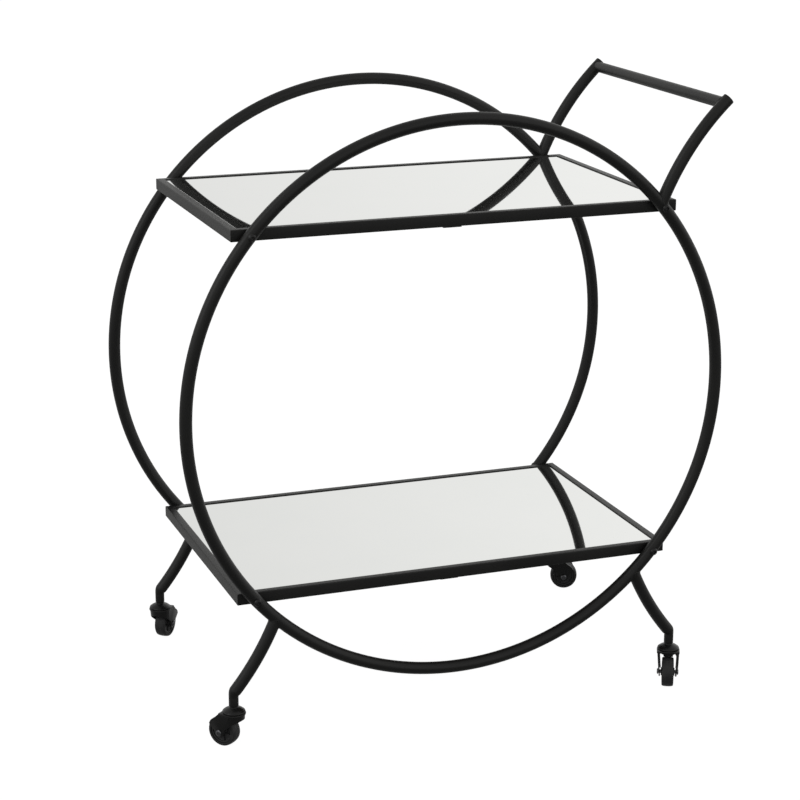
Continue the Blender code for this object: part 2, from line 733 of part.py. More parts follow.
def hub_mesh():
    """The wheel's centre: a rim, a dished web and a boss that runs on the axle."""
    rim = HUB_WIDTH / 2
    web = rim - HUB_DISH
    boss = HUB_BOSS_WIDTH / 2
    rim_inner = TREAD_BORE - HUB_RIM_THICKNESS
    bore = AXLE_RADIUS + TOUCH
    profile = [
        (bore, boss),
        (HUB_BOSS_RADIUS, boss),
        (HUB_BOSS_RADIUS, web),
        (rim_inner, web),
        (rim_inner, rim),
        (TREAD_BORE, rim),
        (TREAD_BORE, -rim),
        (rim_inner, -rim),
        (rim_inner, -web),
        (HUB_BOSS_RADIUS, -web),
        (HUB_BOSS_RADIUS, -boss),
        (bore, -boss),
    ]
    return turned_ring_mesh("hub", profile, HUB_SIDES)


def tyre_mesh():
    """The tread: a thick ring with rounded shoulders."""
    half = WHEEL_WIDTH / 2
    bore = TREAD_BORE + TOUCH
    edge = TREAD_ROUNDING
    profile = [(bore, half), (WHEEL_RADIUS - edge, half)]
    for step in range(1, TREAD_STEPS + 1):
        angle = pi / 2 * (1 - step / TREAD_STEPS)
        outward = WHEEL_RADIUS - edge + edge * cos(angle)
        profile.append((outward, half - edge + edge * sin(angle)))
    profile += [(radius, -height) for radius, height in reversed(profile)]
    return turned_ring_mesh("tyre", profile, TREAD_SIDES)


def add_caster_meshes():
    return {
        "fork": (fork_mesh(), BLACK_STEEL),
        "axle": (axle_mesh(), ZINC),
        "hub": (hub_mesh(), BLACK_PLASTIC),
        "tyre": (tyre_mesh(), BLACK_RUBBER),
    }


def add_caster(corner, place, meshes):
    """The fork and axle swivel about the stem, and the hub and tyre turn on the axle behind it."""
    add_stem(corner, place)
    add_race(corner, place)
    swivel = bpy.data.objects.new(f"swivel_{corner}", None)
    PARTS.objects.link(swivel)
    swivel.matrix_world = Matrix.Translation(place) @ Matrix.Rotation(SWIVEL_HEADINGS[corner], 4, "Z")
    for piece, (mesh, material) in meshes.items():
        item = add_object(f"caster_{piece}_{corner}", mesh, PARTS, material)
        item.parent = swivel
        if piece != "fork":
            item.location = (CASTER_TRAIL, 0, WHEEL_RADIUS)
            item.rotation_euler = (-pi / 2, 0, 0)


# ---------------------------------------------------------------- the cart


clear_scene()
PARTS = new_collection("bar_cart")
CUTTERS = new_collection("cutters")
POWDER_COAT = new_material("black_powder_coat", (0.018, 0.018, 0.017), 0.42, 0.0)
MIRROR_GLASS = new_material("mirror_glass", (0.86, 0.87, 0.86), 0.02, 1.0)
BOARD = new_material("backing_board", (0.10, 0.075, 0.055), 0.8, 0.0)
BOLT_STEEL = new_material("black_bolt", (0.02, 0.02, 0.02), 0.35, 0.6)
BLACK_STEEL = new_material("black_steel", (0.016, 0.016, 0.016), 0.38, 0.3)
ZINC = new_material("zinc_steel", (0.45, 0.45, 0.46), 0.32, 1.0)
BLACK_PLASTIC = new_material("black_plastic", (0.02, 0.02, 0.021), 0.5, 0.0)
BLACK_RUBBER = new_material("black_rubber", (0.025, 0.025, 0.026), 0.6, 0.0)

BOLT_CUTTERS = add_bolt_cutters()
HOOP_CUTTERS = {
    depth: add_cutter(f"hoop_cope_{depth}", ring_mesh("hoop_cope", TUBE_RADIUS + TOUCH), hoop_place(depth))
    for depth in (-1, 1)
}

add_hoops()
add_handle()
for level, height in SHELF_HEIGHTS.items():
    add_shelf(level, height)
add_bolts()
CASTER_MESHES = add_caster_meshes()
for corner, (side, depth) in CORNERS.items():
    foot = (side * LEG_STANCE, depth * HOOP_Y, 0)
    add_leg(corner, side, depth)
    add_socket(corner, foot)
    add_caster(corner, foot, CASTER_MESHES)
bpy.context.view_layer.update()
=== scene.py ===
"""The look of the bar cart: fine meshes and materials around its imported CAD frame.

Everything is in metres in the frame of the CAD: the floor is z = 0, the handle is at +X and the
front hoop is at -Y.
"""

import json
from math import atan2, cos, hypot, pi, radians, sin, sqrt, tan

import bmesh
import bpy
import numpy as np
from mathutils import Matrix, Vector


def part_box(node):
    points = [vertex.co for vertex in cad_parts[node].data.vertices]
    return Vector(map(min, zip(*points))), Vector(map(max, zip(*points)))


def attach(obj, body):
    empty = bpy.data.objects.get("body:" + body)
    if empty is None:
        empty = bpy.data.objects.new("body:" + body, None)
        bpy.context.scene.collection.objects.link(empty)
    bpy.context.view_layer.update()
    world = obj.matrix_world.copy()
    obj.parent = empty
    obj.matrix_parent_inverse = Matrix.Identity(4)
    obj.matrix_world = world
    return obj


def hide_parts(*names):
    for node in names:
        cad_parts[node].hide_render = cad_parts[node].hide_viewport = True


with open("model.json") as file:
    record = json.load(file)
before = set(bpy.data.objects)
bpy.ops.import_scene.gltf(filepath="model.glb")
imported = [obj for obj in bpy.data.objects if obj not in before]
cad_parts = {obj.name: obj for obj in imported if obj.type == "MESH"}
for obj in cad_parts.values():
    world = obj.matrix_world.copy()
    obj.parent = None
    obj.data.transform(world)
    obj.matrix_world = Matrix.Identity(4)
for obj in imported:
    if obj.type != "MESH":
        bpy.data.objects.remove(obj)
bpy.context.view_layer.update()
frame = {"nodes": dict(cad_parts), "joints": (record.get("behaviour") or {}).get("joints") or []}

# ---------------------------------------------------------------- sizes of the CAD that pieces share

HOOP_LOW, HOOP_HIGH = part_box("hoop_front")
TUBE_RADIUS = (HOOP_HIGH.y - HOOP_LOW.y) / 2
HOOP_RADIUS = (HOOP_HIGH.x - HOOP_LOW.x) / 2 - TUBE_RADIUS
HOOP_HEIGHT = (HOOP_HIGH.z + HOOP_LOW.z) / 2
HOOP_Y = -(HOOP_HIGH.y + HOOP_LOW.y) / 2
ARM_ROOT_ANGLE = radians(41.1)
ARM_LEAN = radians(68.0)
ARM_SWEEP = radians(25.6)
HANDLE_RADIUS = 0.0075
HANDLE_INSET = 0.0088
LEG_ROOT_ANGLE = radians(46.15)
LEG_LEAN = radians(67.4)
LEG_SWEEP = radians(17.6)
SOCKET_RADIUS = 0.0063
KNEE_REACH = 0.0045  # of the bend at a leg's knee, to each side of its middle
LEG_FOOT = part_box("leg_front_left")[0].z
LEG_SEAM = 0.0002  # a leg runs on this far into the gap above the bush
STEM_BORE = 0.0043  # the radius of the holes that a caster's stem passes through
CAD_GAP = 0.0003  # between touching pieces
CORNERS = {
    "front_left": (-1, -1),
    "front_right": (1, -1),
    "rear_left": (-1, 1),
    "rear_right": (1, 1),
}
RAIL_WIDTH = 0.010
RAIL_ROUNDING = 0.0013
RAIL_FOOT_ROUNDING = 0.0006
RAIL_INNER_ROUNDING = 0.0009
LIP_WIDTH = 0.006
LIP_FOOT = 0.0047
LIP_TOP = 0.0062
LIP_ROUNDING = 0.0003
BOLT_RADIUS = 0.003
BOLT_LENGTH = 0.023
BOLT_HEAD_RADIUS = 0.0052
BOLT_HEAD_HEIGHT = 0.0032
BOLT_RECESS = 0.0021  # from the middle to a corner of its hexagon

# ---------------------------------------------------------------- sizes of a caster

CROWN_TOP = 0.048
CROWN_THICKNESS = 0.003
CROWN_MIDDLE = CROWN_TOP - CROWN_THICKNESS / 2
CROWN_RADIUS = 0.0154
DECK_REAR = 0.0149
FORK_HALF_WIDTH = 0.0149
FORK_PLATE = 0.0018
FORK_FLANGE = 0.0034  # the width of the flange that stiffens a side's rear edge
FORK_TAPER = radians(5.0)
FORK_LAP = 0.002  # the sides reach this far past the stem's axis, into the skirt
FORK_EYE = 0.0068  # the radius of a side's end round the axle
PLATE_EASING = 0.0004
FENDER_FIRST = 36  # degrees round the axle from its rear
FENDER_LAST = 70
FENDER_DROP = 0.0018  # at its first angle it lies this far inside the wheel's outline
FENDER_SWELL = 0.0028
FENDER_SPREAD = 2.2
SKIRT_DEPTH = 0.0088
SKIRT_RAKE = radians(28)
SKIRT_WALL = 0.0012
TAB_HALF_WIDTH = 0.0065
TAB_FOOT = 0.0412
TAB_THICKNESS = 0.0014
TAB_SETBACK = 0.0009
AXLE_RADIUS = 0.0025
AXLE_SEAT = 0.0130  # from the wheel's middle to the underside of a head
AXLE_HEAD = 0.0042
WHEEL_RADIUS = 0.020
CASTER_TRAIL = 0.015
TREAD_HALF_WIDTH = 0.00775
TREAD_BORE = 0.0158
PARTING_LINE = 0.00012  # the depth of the mould's line round the tread
RACE_RADIUS = 0.0147
COLLAR_RADIUS = 0.0056
STEM_RADIUS = 0.0040
STEM_FLANGE = 0.0105
STEM_FLANGE_TOP = 0.0446

# ---------------------------------------------------------------- fineness, and the welds

TUBE_SIDES = 32
HOOP_SEGMENTS = 256
BRANCH_SEGMENTS = 40
HANDLE_SEGMENTS = 12
KNEE_STEPS = 14
WELD = 0.0009  # half the thickness of a weld bead
WELD_SIDES = 10
WELD_RIPPLE = 0.05
WELD_PITCH = 0.0022  # of the ripples
BRANCH_WELD_STEPS = 120
HANDLE_WELD_STEPS = 100


# ---------------------------------------------------------------- mesh helpers


def circle(count):
    """Evenly spaced angles once round."""
    return [2 * pi * k / count for k in range(count)]


def bent(first, corner, last, t):
    """A point on the curve that leaves first for the corner and comes from the corner into last."""
    return (1 - t) ** 2 * first + 2 * t * (1 - t) * corner + t * t * last


def mesh_from(name, points, faces):
    mesh = bpy.data.meshes.new(name)
    mesh.from_pydata([tuple(p) for p in points], [], faces)
    shape = bmesh.new()
    shape.from_mesh(mesh)
    bmesh.ops.remove_doubles(shape, verts=shape.verts, dist=1e-7)
    bmesh.ops.recalc_face_normals(shape, faces=shape.faces)
    shape.to_mesh(mesh)
    shape.free()
    return mesh


def skin(name, rings, closed=False, caps=True):
    """A skin over rings of points. It closes on itself, or ends in a cap at each end."""
    count = len(rings[0])
    points = [p for ring in rings for p in ring]
    faces = []
    spans = len(rings) if closed else len(rings) - 1
    for i in range(spans):
        a, b = i * count, ((i + 1) % len(rings)) * count
        for j in range(count):
            k = (j + 1) % count
            faces.append((a + j, a + k, b + k, b + j))
    if caps and not closed:
        for ring, start in ((rings[0], 0), (rings[-1], len(points) - count)):
            centre = sum((Vector(p) for p in ring), Vector()) / count
            points.append(centre)
            apex = len(points) - 1
            faces += [(start + j, start + (j + 1) % count, apex) for j in range(count)]
    return mesh_from(name, points, faces)


def rounded(profile, radius, steps=3, closed=False):
    """A polyline with each corner turned into a small arc. A radius of 0 at a point leaves it sharp."""
    out = []
    count = len(profile)
    for i, point in enumerate(profile):
        here = Vector(point[:2])
        limit = point[2] if len(point) > 2 else radius
        if not closed and i in (0, count - 1) or limit == 0:
            out.append(here)
            continue
        before = Vector(profile[i - 1][:2])
        after = Vector(profile[(i + 1) % count][:2])
        to_before, to_after = before - here, after - here
        reach = min(limit, 0.45 * to_before.length, 0.45 * to_after.length)
        first = here + to_before.normalized() * reach
        last = here + to_after.normalized() * reach
        out += [bent(first, here, last, step / steps) for step in range(steps + 1)]
    return out


def reflected(half):
    """The other half of a profile that is the same above and below height 0."""
    return [(radius, -height, *easing) for radius, height, *easing in half[::-1]]


def turned(name, profile, radius=0.0004, sides=48, ring=False, steps=3):
    """A solid of revolution about Z from (radius, height) pairs, with its corners eased."""
    line = rounded(profile, radius, steps, closed=ring)
    rings = [[(r * cos(a), r * sin(a), z) for a in circle(sides)] for r, z in line]
    return skin(name, rings, closed=ring, caps=False)


def plate(name, outline, thickness, easing):
    """A flat plate in its own XY plane with eased edges."""
    shape = bmesh.new()
    low = [shape.verts.new((x, y, -thickness / 2)) for x, y in outline]
    high = [shape.verts.new((x, y, thickness / 2)) for x, y in outline]
    shape.faces.new(low[::-1])
    shape.faces.new(high)
    for i in range(len(outline)):
        j = (i + 1) % len(outline)
        shape.faces.new((low[i], low[j], high[j], high[i]))
    bmesh.ops.recalc_face_normals(shape, faces=shape.faces)
    rims = [e for e in shape.edges if abs(e.verts[0].co.z - e.verts[1].co.z) < 1e-9]
    bmesh.ops.bevel(shape, geom=rims, offset=easing, segments=2, profile=0.5, affect="EDGES")
    mesh = bpy.data.meshes.new(name)
    shape.to_mesh(mesh)
    shape.free()
    return mesh


def combined(name, base, others, operation):
    """The base mesh joined with or cut by the others."""
    item = bpy.data.objects.new(name, base)
    bpy.context.scene.collection.objects.link(item)
    helpers = []
    for other in others:
        helper = bpy.data.objects.new(name + "_tool", other)
        bpy.context.scene.collection.objects.link(helper)
        helpers.append(helper)
        modifier = item.modifiers.new("join", "BOOLEAN")
        modifier.operation = operation
        modifier.solver = "EXACT"
        modifier.object = helper
    bpy.context.view_layer.update()
    graph = bpy.context.evaluated_depsgraph_get()
    mesh = bpy.data.meshes.new_from_object(item.evaluated_get(graph), depsgraph=graph)
    for helper in [item, *helpers]:
        bpy.data.objects.remove(helper)
    mesh.name = name
    return mesh


def piece(name, mesh, material, body="frame", replaces=(), place=None, smooth=35):
    """A shown piece of the object that rides on a body and may stand for CAD nodes."""
    item = bpy.data.objects.new(name, mesh)
    bpy.context.scene.collection.objects.link(item)
    mesh.materials.clear()
    mesh.materials.append(material)
    mesh.shade_smooth()
    mesh.set_sharp_from_angle(angle=radians(smooth))
    if place is not None:
        item.matrix_world = place
    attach(item, body)
    if replaces:
        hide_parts(*replaces)
    return item


# ---------------------------------------------------------------- materials


class Nodes:
    """A short way to write a material's node tree."""

    def __init__(self, name):
        self.material = bpy.data.materials.new(name)
        self.material.use_nodes = True
        self.tree = self.material.node_tree
        self.shader = self.tree.nodes["Principled BSDF"]
        self.coordinates = self.tree.nodes.new("ShaderNodeTexCoord").outputs["Object"]

    def link(self, source, target):
        self.tree.links.new(source, target)

    def set(self, **values):
        for key, value in values.items():
            self.shader.inputs[key.replace("_", " ")].default_value = value

    def noise(self, scale, detail=3.0, roughness=0.5, stretch=None):
        node = self.tree.nodes.new("ShaderNodeTexNoise")
        node.inputs["Scale"].default_value = scale
        node.inputs["Detail"].default_value = detail
        node.inputs["Roughness"].default_value = roughness
        source = self.coordinates
        if stretch:
            mapping = self.tree.nodes.new("ShaderNodeMapping")
            mapping.inputs["Scale"].default_value = stretch
            self.link(source, mapping.inputs["Vector"])
            source = mapping.outputs["Vector"]
        self.link(source, node.inputs["Vector"])
        return node.outputs["Fac"]

    def ramp(self, source, *stops):
        """The third stop where source is at the first one, and the fourth where it is at the second."""
        node = self.tree.nodes.new("ShaderNodeMapRange")
        for key, value in zip(("From Min", "From Max", "To Min", "To Max"), stops):
            node.inputs[key].default_value = value
        self.link(source, node.inputs["Value"])
        return node.outputs["Result"]

    def mix(self, factor, first, last):
        node = self.tree.nodes.new("ShaderNodeMix")
        node.data_type = "RGBA"
        self.link(factor, node.inputs["Factor"])
        for socket, value in ((node.inputs[6], first), (node.inputs[7], last)):
            if isinstance(value, tuple):
                socket.default_value = (*value, 1)
            else:
                self.link(value, socket)
        return node.outputs[2]

    def bump(self, height, strength, distance):
        node = self.tree.nodes.new("ShaderNodeBump")
        node.inputs["Strength"].default_value = strength
        node.inputs["Distance"].default_value = distance
        self.link(height, node.inputs["Height"])
        return node.outputs["Normal"]

    def finish(self, colour=None, roughness=None, normal=None):
        for key, source in (("Base Color", colour), ("Roughness", roughness), ("Normal", normal)):
            if source:
                self.link(source, self.shader.inputs[key])
        return self.material


def coated_steel(name, dark, light, rough, peel, specular):
    """Powder coat: a fine orange peel, and a slow drift in tone and gloss from piece to piece."""
    n = Nodes(name)
    drift = n.noise(9, 3)
    speck = n.noise(420, 2)
    tone = n.mix(n.ramp(drift, 0.35, 0.65, 0, 1), dark, light)
    gloss = n.ramp(speck, 0.3, 0.7, rough - 0.04, rough + 0.05)
    normal = n.bump(n.noise(900, 2, 0.6), peel, 0.00012)
    n.set(Specular_IOR_Level=specular)
    return n.finish(tone, gloss, normal)


def mirror_material():
    """Silvered glass, with a film of dust and wiping marks that only just dull it."""
    n = Nodes("mirror_silvered_glass")
    haze = n.noise(5, 4, 0.6)
    wipe = n.noise(30, 3, 0.5, (0.25, 1.0, 1.0))
    colour = n.mix(n.ramp(haze, 0.3, 0.7, 0, 1), (0.88, 0.89, 0.88), (0.90, 0.905, 0.895))
    gloss = n.ramp(wipe, 0.35, 0.75, 0.012, 0.035)
    n.set(Metallic=1.0)
    return n.finish(colour, gloss)


def hardboard():
    """Brown pressed fibre: short random fibres over a mottled ground."""
    n = Nodes("hardboard_fibre")
    mottle = n.noise(60, 5, 0.65)
    fibre = n.noise(350, 4, 0.7, (0.3, 1.0, 1.0))
    ground = n.mix(n.ramp(mottle, 0.3, 0.7, 0, 1), (0.085, 0.055, 0.036), (0.145, 0.100, 0.066))
    colour = n.mix(n.ramp(fibre, 0.55, 0.75, 0, 0.7), ground, (0.20, 0.145, 0.10))
    return n.finish(colour, n.ramp(mottle, 0.2, 0.8, 0.72, 0.9), n.bump(fibre, 0.5, 0.0003))


def zinc():
    """Zinc plate: cool grey metal with a faint crystal mottle."""
    n = Nodes("zinc_plate")
    crystal = n.noise(700, 2, 0.5)
    colour = n.mix(n.ramp(crystal, 0.35, 0.65, 0, 1), (0.10, 0.10, 0.105), (0.17, 0.17, 0.18))
    n.set(Metallic=1.0)
    return n.finish(colour, n.ramp(crystal, 0.3, 0.7, 0.24, 0.38), n.bump(crystal, 0.2, 0.00005))


def black_oxide():
    n = Nodes("black_oxide_steel")
    grain = n.noise(1200, 2)
    colour = n.mix(n.ramp(grain, 0.3, 0.7, 0, 1), (0.012, 0.012, 0.013), (0.03, 0.03, 0.03))
    n.set(Metallic=0.5)
    return n.finish(colour, n.ramp(grain, 0.3, 0.7, 0.28, 0.4), n.bump(grain, 0.2, 0.00004))


def moulded_plastic():
    n = Nodes("moulded_nylon")
    grain = n.noise(1500, 2)
    drift = n.noise(40, 2)
    colour = n.mix(n.ramp(drift, 0.3, 0.7, 0, 1), (0.014, 0.014, 0.015), (0.022, 0.022, 0.023))
    return n.finish(colour, n.ramp(grain, 0.3, 0.7, 0.42, 0.55), n.bump(grain, 0.4, 0.00006))


def rubber():
    """Tread rubber, with a little dust where it has rolled."""
    n = Nodes("tread_rubber")
    grain = n.noise(1000, 3, 0.6)
    dust = n.noise(120, 4, 0.65)
    colour = n.mix(n.ramp(dust, 0.5, 0.8, 0, 1), (0.013, 0.013, 0.014), (0.035, 0.034, 0.032))
    return n.finish(colour, n.ramp(dust, 0.3, 0.7, 0.5, 0.7), n.bump(grain, 0.4, 0.0001))


POWDER = coated_steel(
    "powder_coat_black",
    dark=(0.0105, 0.0105, 0.0103),
    light=(0.0145, 0.0142, 0.0138),
    rough=0.40,
    peel=0.35,
    specular=0.30,
)
CASTER_STEEL = coated_steel(
    "caster_enamel",
    dark=(0.0075, 0.0075, 0.0075),
    light=(0.012, 0.012, 0.012),
    rough=0.27,
    peel=0.2,
    specular=0.35,
)
MIRROR = mirror_material()
BOARD = hardboard()
ZINC = zinc()
OXIDE = black_oxide()
PLASTIC = moulded_plastic()
RUBBER = rubber()


# ---------------------------------------------------------------- tubes


def branch_end(root_angle, lean, sweep):
    """Where an arm or leg is after bending by sweep, as (outward, away) from the hoop's centre."""
    start = lean + pi / 2
    along = cos(root_angle) - cos(start) + cos(start - sweep)
    away = sin(root_angle) - sin(start) + sin(start - sweep)
    return HOOP_RADIUS * Vector((along, away))


def hoop(name, depth):
    rings = []
    for a in circle(HOOP_SEGMENTS):
        ring = []
        for b in circle(TUBE_SIDES):
            r = HOOP_RADIUS + TUBE_RADIUS * cos(b)
            y = depth * HOOP_Y + TUBE_RADIUS * sin(b)
            ring.append((r * cos(a), y, HOOP_HEIGHT + r * sin(a)))
        rings.append(ring)
    mesh = skin(f"hoop_{name}_tube", rings, closed=True)
    piece(mesh.name, mesh, POWDER, replaces=[f"hoop_{name}"])


def branch_surface(root_angle, lean, sweep, around):
    """A point on an arm's or leg's surface, in the hoop's plane with y across it."""
    centre = branch_end(root_angle, lean, sweep)
    heading = lean - sweep
    across = Vector((-sin(heading), cos(heading)))
    flat = centre + across * TUBE_RADIUS * cos(around)
    return Vector((flat.x, TUBE_RADIUS * sin(around), flat.y))


def root_sweep(root_angle, lean, around):
    """The bend at which a line along a branch's surface comes out of the hoop."""
    low, high = -0.02, 0.12
    for _ in range(40):
        middle = (low + high) / 2
        p = branch_surface(root_angle, lean, middle, around)
        clear = (hypot(p.x, p.z) - HOOP_RADIUS) ** 2 + p.y**2 > TUBE_RADIUS**2
        if clear and hypot(p.x, p.z) > HOOP_RADIUS:
            high = middle
        else:
            low = middle
    return high


def placed(point, side, depth, up):
    """A point of the pattern branch moved to one of the cart's corners."""
    return Vector((side * point.x, depth * HOOP_Y + depth * point.y, HOOP_HEIGHT + up * point.z))


def branch_rings(root_angle, lean, sweep, side, depth, up):
    """The rings of an arm or leg, from the line where it comes out of the hoop."""
    starts = [(around, root_sweep(root_angle, lean, around)) for around in circle(TUBE_SIDES)]
    rings = []
    for i in range(BRANCH_SEGMENTS + 1):
        t = i / BRANCH_SEGMENTS
        ring = []
        for around, start in starts:
            point = branch_surface(root_angle, lean, start + (sweep - start) * t, around)
            ring.append(placed(point, side, depth, up))
        rings.append(ring)
    return rings


def bead(name, line):
    """A weld bead along a closed line: a round section that swells at each step of the weld."""
    count = len(line)
    length = sum((line[i] - line[i - 1]).length for i in range(count))
    waves = max(6, round(length / WELD_PITCH))
    side = (line[1] - line[-1]).orthogonal()
    rings = []
    for i in range(count):
        ahead = (line[(i + 1) % count] - line[i - 1]).normalized()
        side = (side - ahead * side.dot(ahead)).normalized()
        up = ahead.cross(side)
        swell = WELD * (1 + WELD_RIPPLE * sin(2 * pi * waves * i / count))
        rings.append([line[i] + swell * (side * cos(a) + up * sin(a)) for a in circle(WELD_SIDES)])
    return skin(name, rings, closed=True)


def fine_loop(points, count):
    """A closed line through the points, resampled to even steps."""
    points = [Vector(p) for p in points]
    lengths = [0.0]
    for i in range(len(points)):
        lengths.append(lengths[-1] + (points[(i + 1) % len(points)] - points[i]).length)
    out = []
    for k in range(count):
        target = lengths[-1] * k / count
        i = int(np.searchsorted(lengths, target, side="right")) - 1
        t = (target - lengths[i]) / max(lengths[i + 1] - lengths[i], 1e-12)
        out.append(points[i].lerp(points[(i + 1) % len(points)], t))
    return out


def weld(name, ring, steps):
    mesh = bead(name, fine_loop(ring, steps))
    piece(mesh.name, mesh, POWDER, smooth=180)


def arm(name, depth):
    rings = branch_rings(ARM_ROOT_ANGLE, ARM_LEAN, ARM_SWEEP, 1, depth, 1)
    end = sum(rings[-1], Vector()) / TUBE_SIDES
    before = sum(rings[-2], Vector()) / TUBE_SIDES
    along = (end - before).normalized()
    rim = rings.pop()
    # The open end's edge is eased, and a plug closes it just below the rim.
    eased = [(0.0, 0.0005), (0.0002, 0.00015), (0.0006, 0.0), (0.0014, 0.0)]
    plug = [(0.0015, 0.0006), (0.004, 0.0004)]
    for inset, drop in eased + plug:
        scale = (TUBE_RADIUS - inset) / TUBE_RADIUS
        rings.append([end + (p - end) * scale - along * drop for p in rim])
    mesh = skin(f"arm_{name}_tube", rings)
    piece(mesh.name, mesh, POWDER, replaces=[f"arm_{name}"])
    weld(f"arm_{name}_weld", rings[0], BRANCH_WELD_STEPS)


def handle():
    """The push bar, whose ends are cut to the arms' round backs."""
    place = branch_end(ARM_ROOT_ANGLE, ARM_LEAN, ARM_SWEEP - HANDLE_INSET / HOOP_RADIUS)
    start = ARM_LEAN + pi / 2
    outward = cos(ARM_ROOT_ANGLE) - cos(start)
    away = sin(ARM_ROOT_ANGLE) - sin(start)
    bend_centre = HOOP_RADIUS * Vector((outward, away))
    ends = []
    for depth in (-1, 1):
        ring = []
        for a in circle(TUBE_SIDES):
            flat = place + HANDLE_RADIUS * Vector((cos(a), sin(a)))
            off = (flat - bend_centre).length - HOOP_RADIUS
            y = HOOP_Y - sqrt(TUBE_RADIUS**2 - off**2)
            ring.append(Vector((flat.x, depth * y, HOOP_HEIGHT + flat.y)))
        ends.append(ring)
    rings = []
    for i in range(HANDLE_SEGMENTS + 1):
        rings.append([a.lerp(b, i / HANDLE_SEGMENTS) for a, b in zip(*ends)])
    mesh = skin("handle_bar_tube", rings)
    piece(mesh.name, mesh, POWDER, replaces=["handle_bar"])
    for name, ring in zip(("front", "rear"), ends):
        weld(f"handle_weld_{name}", ring, HANDLE_WELD_STEPS)


def leg(corner, side, depth):
    """A leg bends upright at its knee, and narrows there to the bush below it."""
    before = KNEE_REACH / HOOP_RADIUS
    rings = branch_rings(LEG_ROOT_ANGLE, LEG_LEAN, LEG_SWEEP - before, side, depth, -1)
    knee = branch_end(LEG_ROOT_ANGLE, LEG_LEAN, LEG_SWEEP)
    first = branch_end(LEG_ROOT_ANGLE, LEG_LEAN, LEG_SWEEP - before)
    last = knee + Vector((0, KNEE_REACH))
    foot = Vector((knee.x, HOOP_HEIGHT - LEG_FOOT + LEG_SEAM))
    shares = [i / KNEE_STEPS for i in range(1, KNEE_STEPS + 1)]
    centres = [bent(first, knee, last, t) for t in shares]
    for t, centre in zip([*shares, 1], [*centres, foot]):
        ahead = ((1 - t) * (knee - first) + t * (last - knee)).normalized()
        across = Vector((-ahead.y, ahead.x))
        radius = TUBE_RADIUS + (SOCKET_RADIUS - TUBE_RADIUS) * t * t * (3 - 2 * t)
        ring = []
        for around in circle(TUBE_SIDES):
            flat = centre + across * radius * cos(around)
            ring.append(placed(Vector((flat.x, radius * sin(around), flat.y)), side, depth, -1))
        rings.append(ring)
    mesh = skin(f"leg_{corner}_tube", rings)
    piece(mesh.name, mesh, POWDER, replaces=[f"leg_{corner}"])
    weld(f"leg_{corner}_weld", rings[0], BRANCH_WELD_STEPS)


def socket(corner):
    """The bush at a leg's foot, which runs up to the end of the leg."""
    low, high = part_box(f"stem_socket_{corner}")
    centre = (low + high) / 2
    top = high.z + CAD_GAP - LEG_SEAM
    profile = [
        (STEM_BORE, top),
        (SOCKET_RADIUS, top, 0.0002),
        (SOCKET_RADIUS, low.z),
        (STEM_BORE, low.z),
    ]
    mesh = turned(f"stem_socket_{corner}_bush", profile, 0.0006, 40, ring=True)
    place = Matrix.Translation((centre.x, centre.y, 0))
    piece(mesh.name, mesh, POWDER, replaces=[f"stem_socket_{corner}"], place=place)


# ---------------------------------------------------------------- shelves


def rail(level, side):
    """One rail with rounded edges and mitred ends, and the lip below that holds the board."""
    low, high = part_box(f"{level}_rail_{side}")
    tall = high.z - low.z
    section = rounded(
        [
            (0, 0),
            (RAIL_WIDTH, 0, RAIL_FOOT_ROUNDING),
            (RAIL_WIDTH, LIP_FOOT, 0),
            (RAIL_WIDTH + LIP_WIDTH, LIP_FOOT, LIP_ROUNDING),
            (RAIL_WIDTH + LIP_WIDTH, LIP_TOP, LIP_ROUNDING),
            (RAIL_WIDTH, LIP_TOP, 0),
            (RAIL_WIDTH, tall, RAIL_INNER_ROUNDING),
            (0, tall),
        ],
        RAIL_ROUNDING,
        4,
        closed=True,
    )
    shelf_low = Vector(map(min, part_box(f"{level}_rail_left")[0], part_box(f"{level}_rail_front")[0]))
    shelf_high = -shelf_low
    rings = []
    for end in (0, 1):
        ring = []
        for inward, up in section:
            near_x, far_x = shelf_low.x + inward, shelf_high.x - inward
            near_y, far_y = shelf_low.y + inward, shelf_high.y - inward
            x, y = {
                "front": ((near_x, far_x)[end], near_y),
                "rear": ((far_x, near_x)[end], far_y),
                "left": (near_x, (far_y, near_y)[end]),
                "right": (far_x, (near_y, far_y)[end]),
            }[side]
            ring.append((x, y, low.z + up))
        rings.append(ring)
    count = len(section)
    faces = [(j, (j + 1) % count, count + (j + 1) % count, count + j) for j in range(count)]
    faces += [tuple(range(count))[::-1], tuple(range(count, 2 * count))]
    mesh = mesh_from(f"{level}_rail_{side}_bar", [*rings[0], *rings[1]], faces)
    piece(mesh.name, mesh, POWDER, replaces=[f"{level}_rail_{side}"])


def shelf(level):
    """The rails are drawn finer here. The pane, the board and the brace are the CAD's own."""
    for side in ("front", "rear", "left", "right"):
        rail(level, side)
    for node, material in (("mirror", MIRROR), ("backing_board", BOARD), ("brace", POWDER)):
        item = frame["nodes"][f"{level}_{node}"]
        item.data.materials.clear()
        item.data.materials.append(material)
    edge = frame["nodes"][f"{level}_brace"].modifiers.new("eased", "BEVEL")
    edge.width = 0.0005
    edge.segments = 2


# ---------------------------------------------------------------- bolts


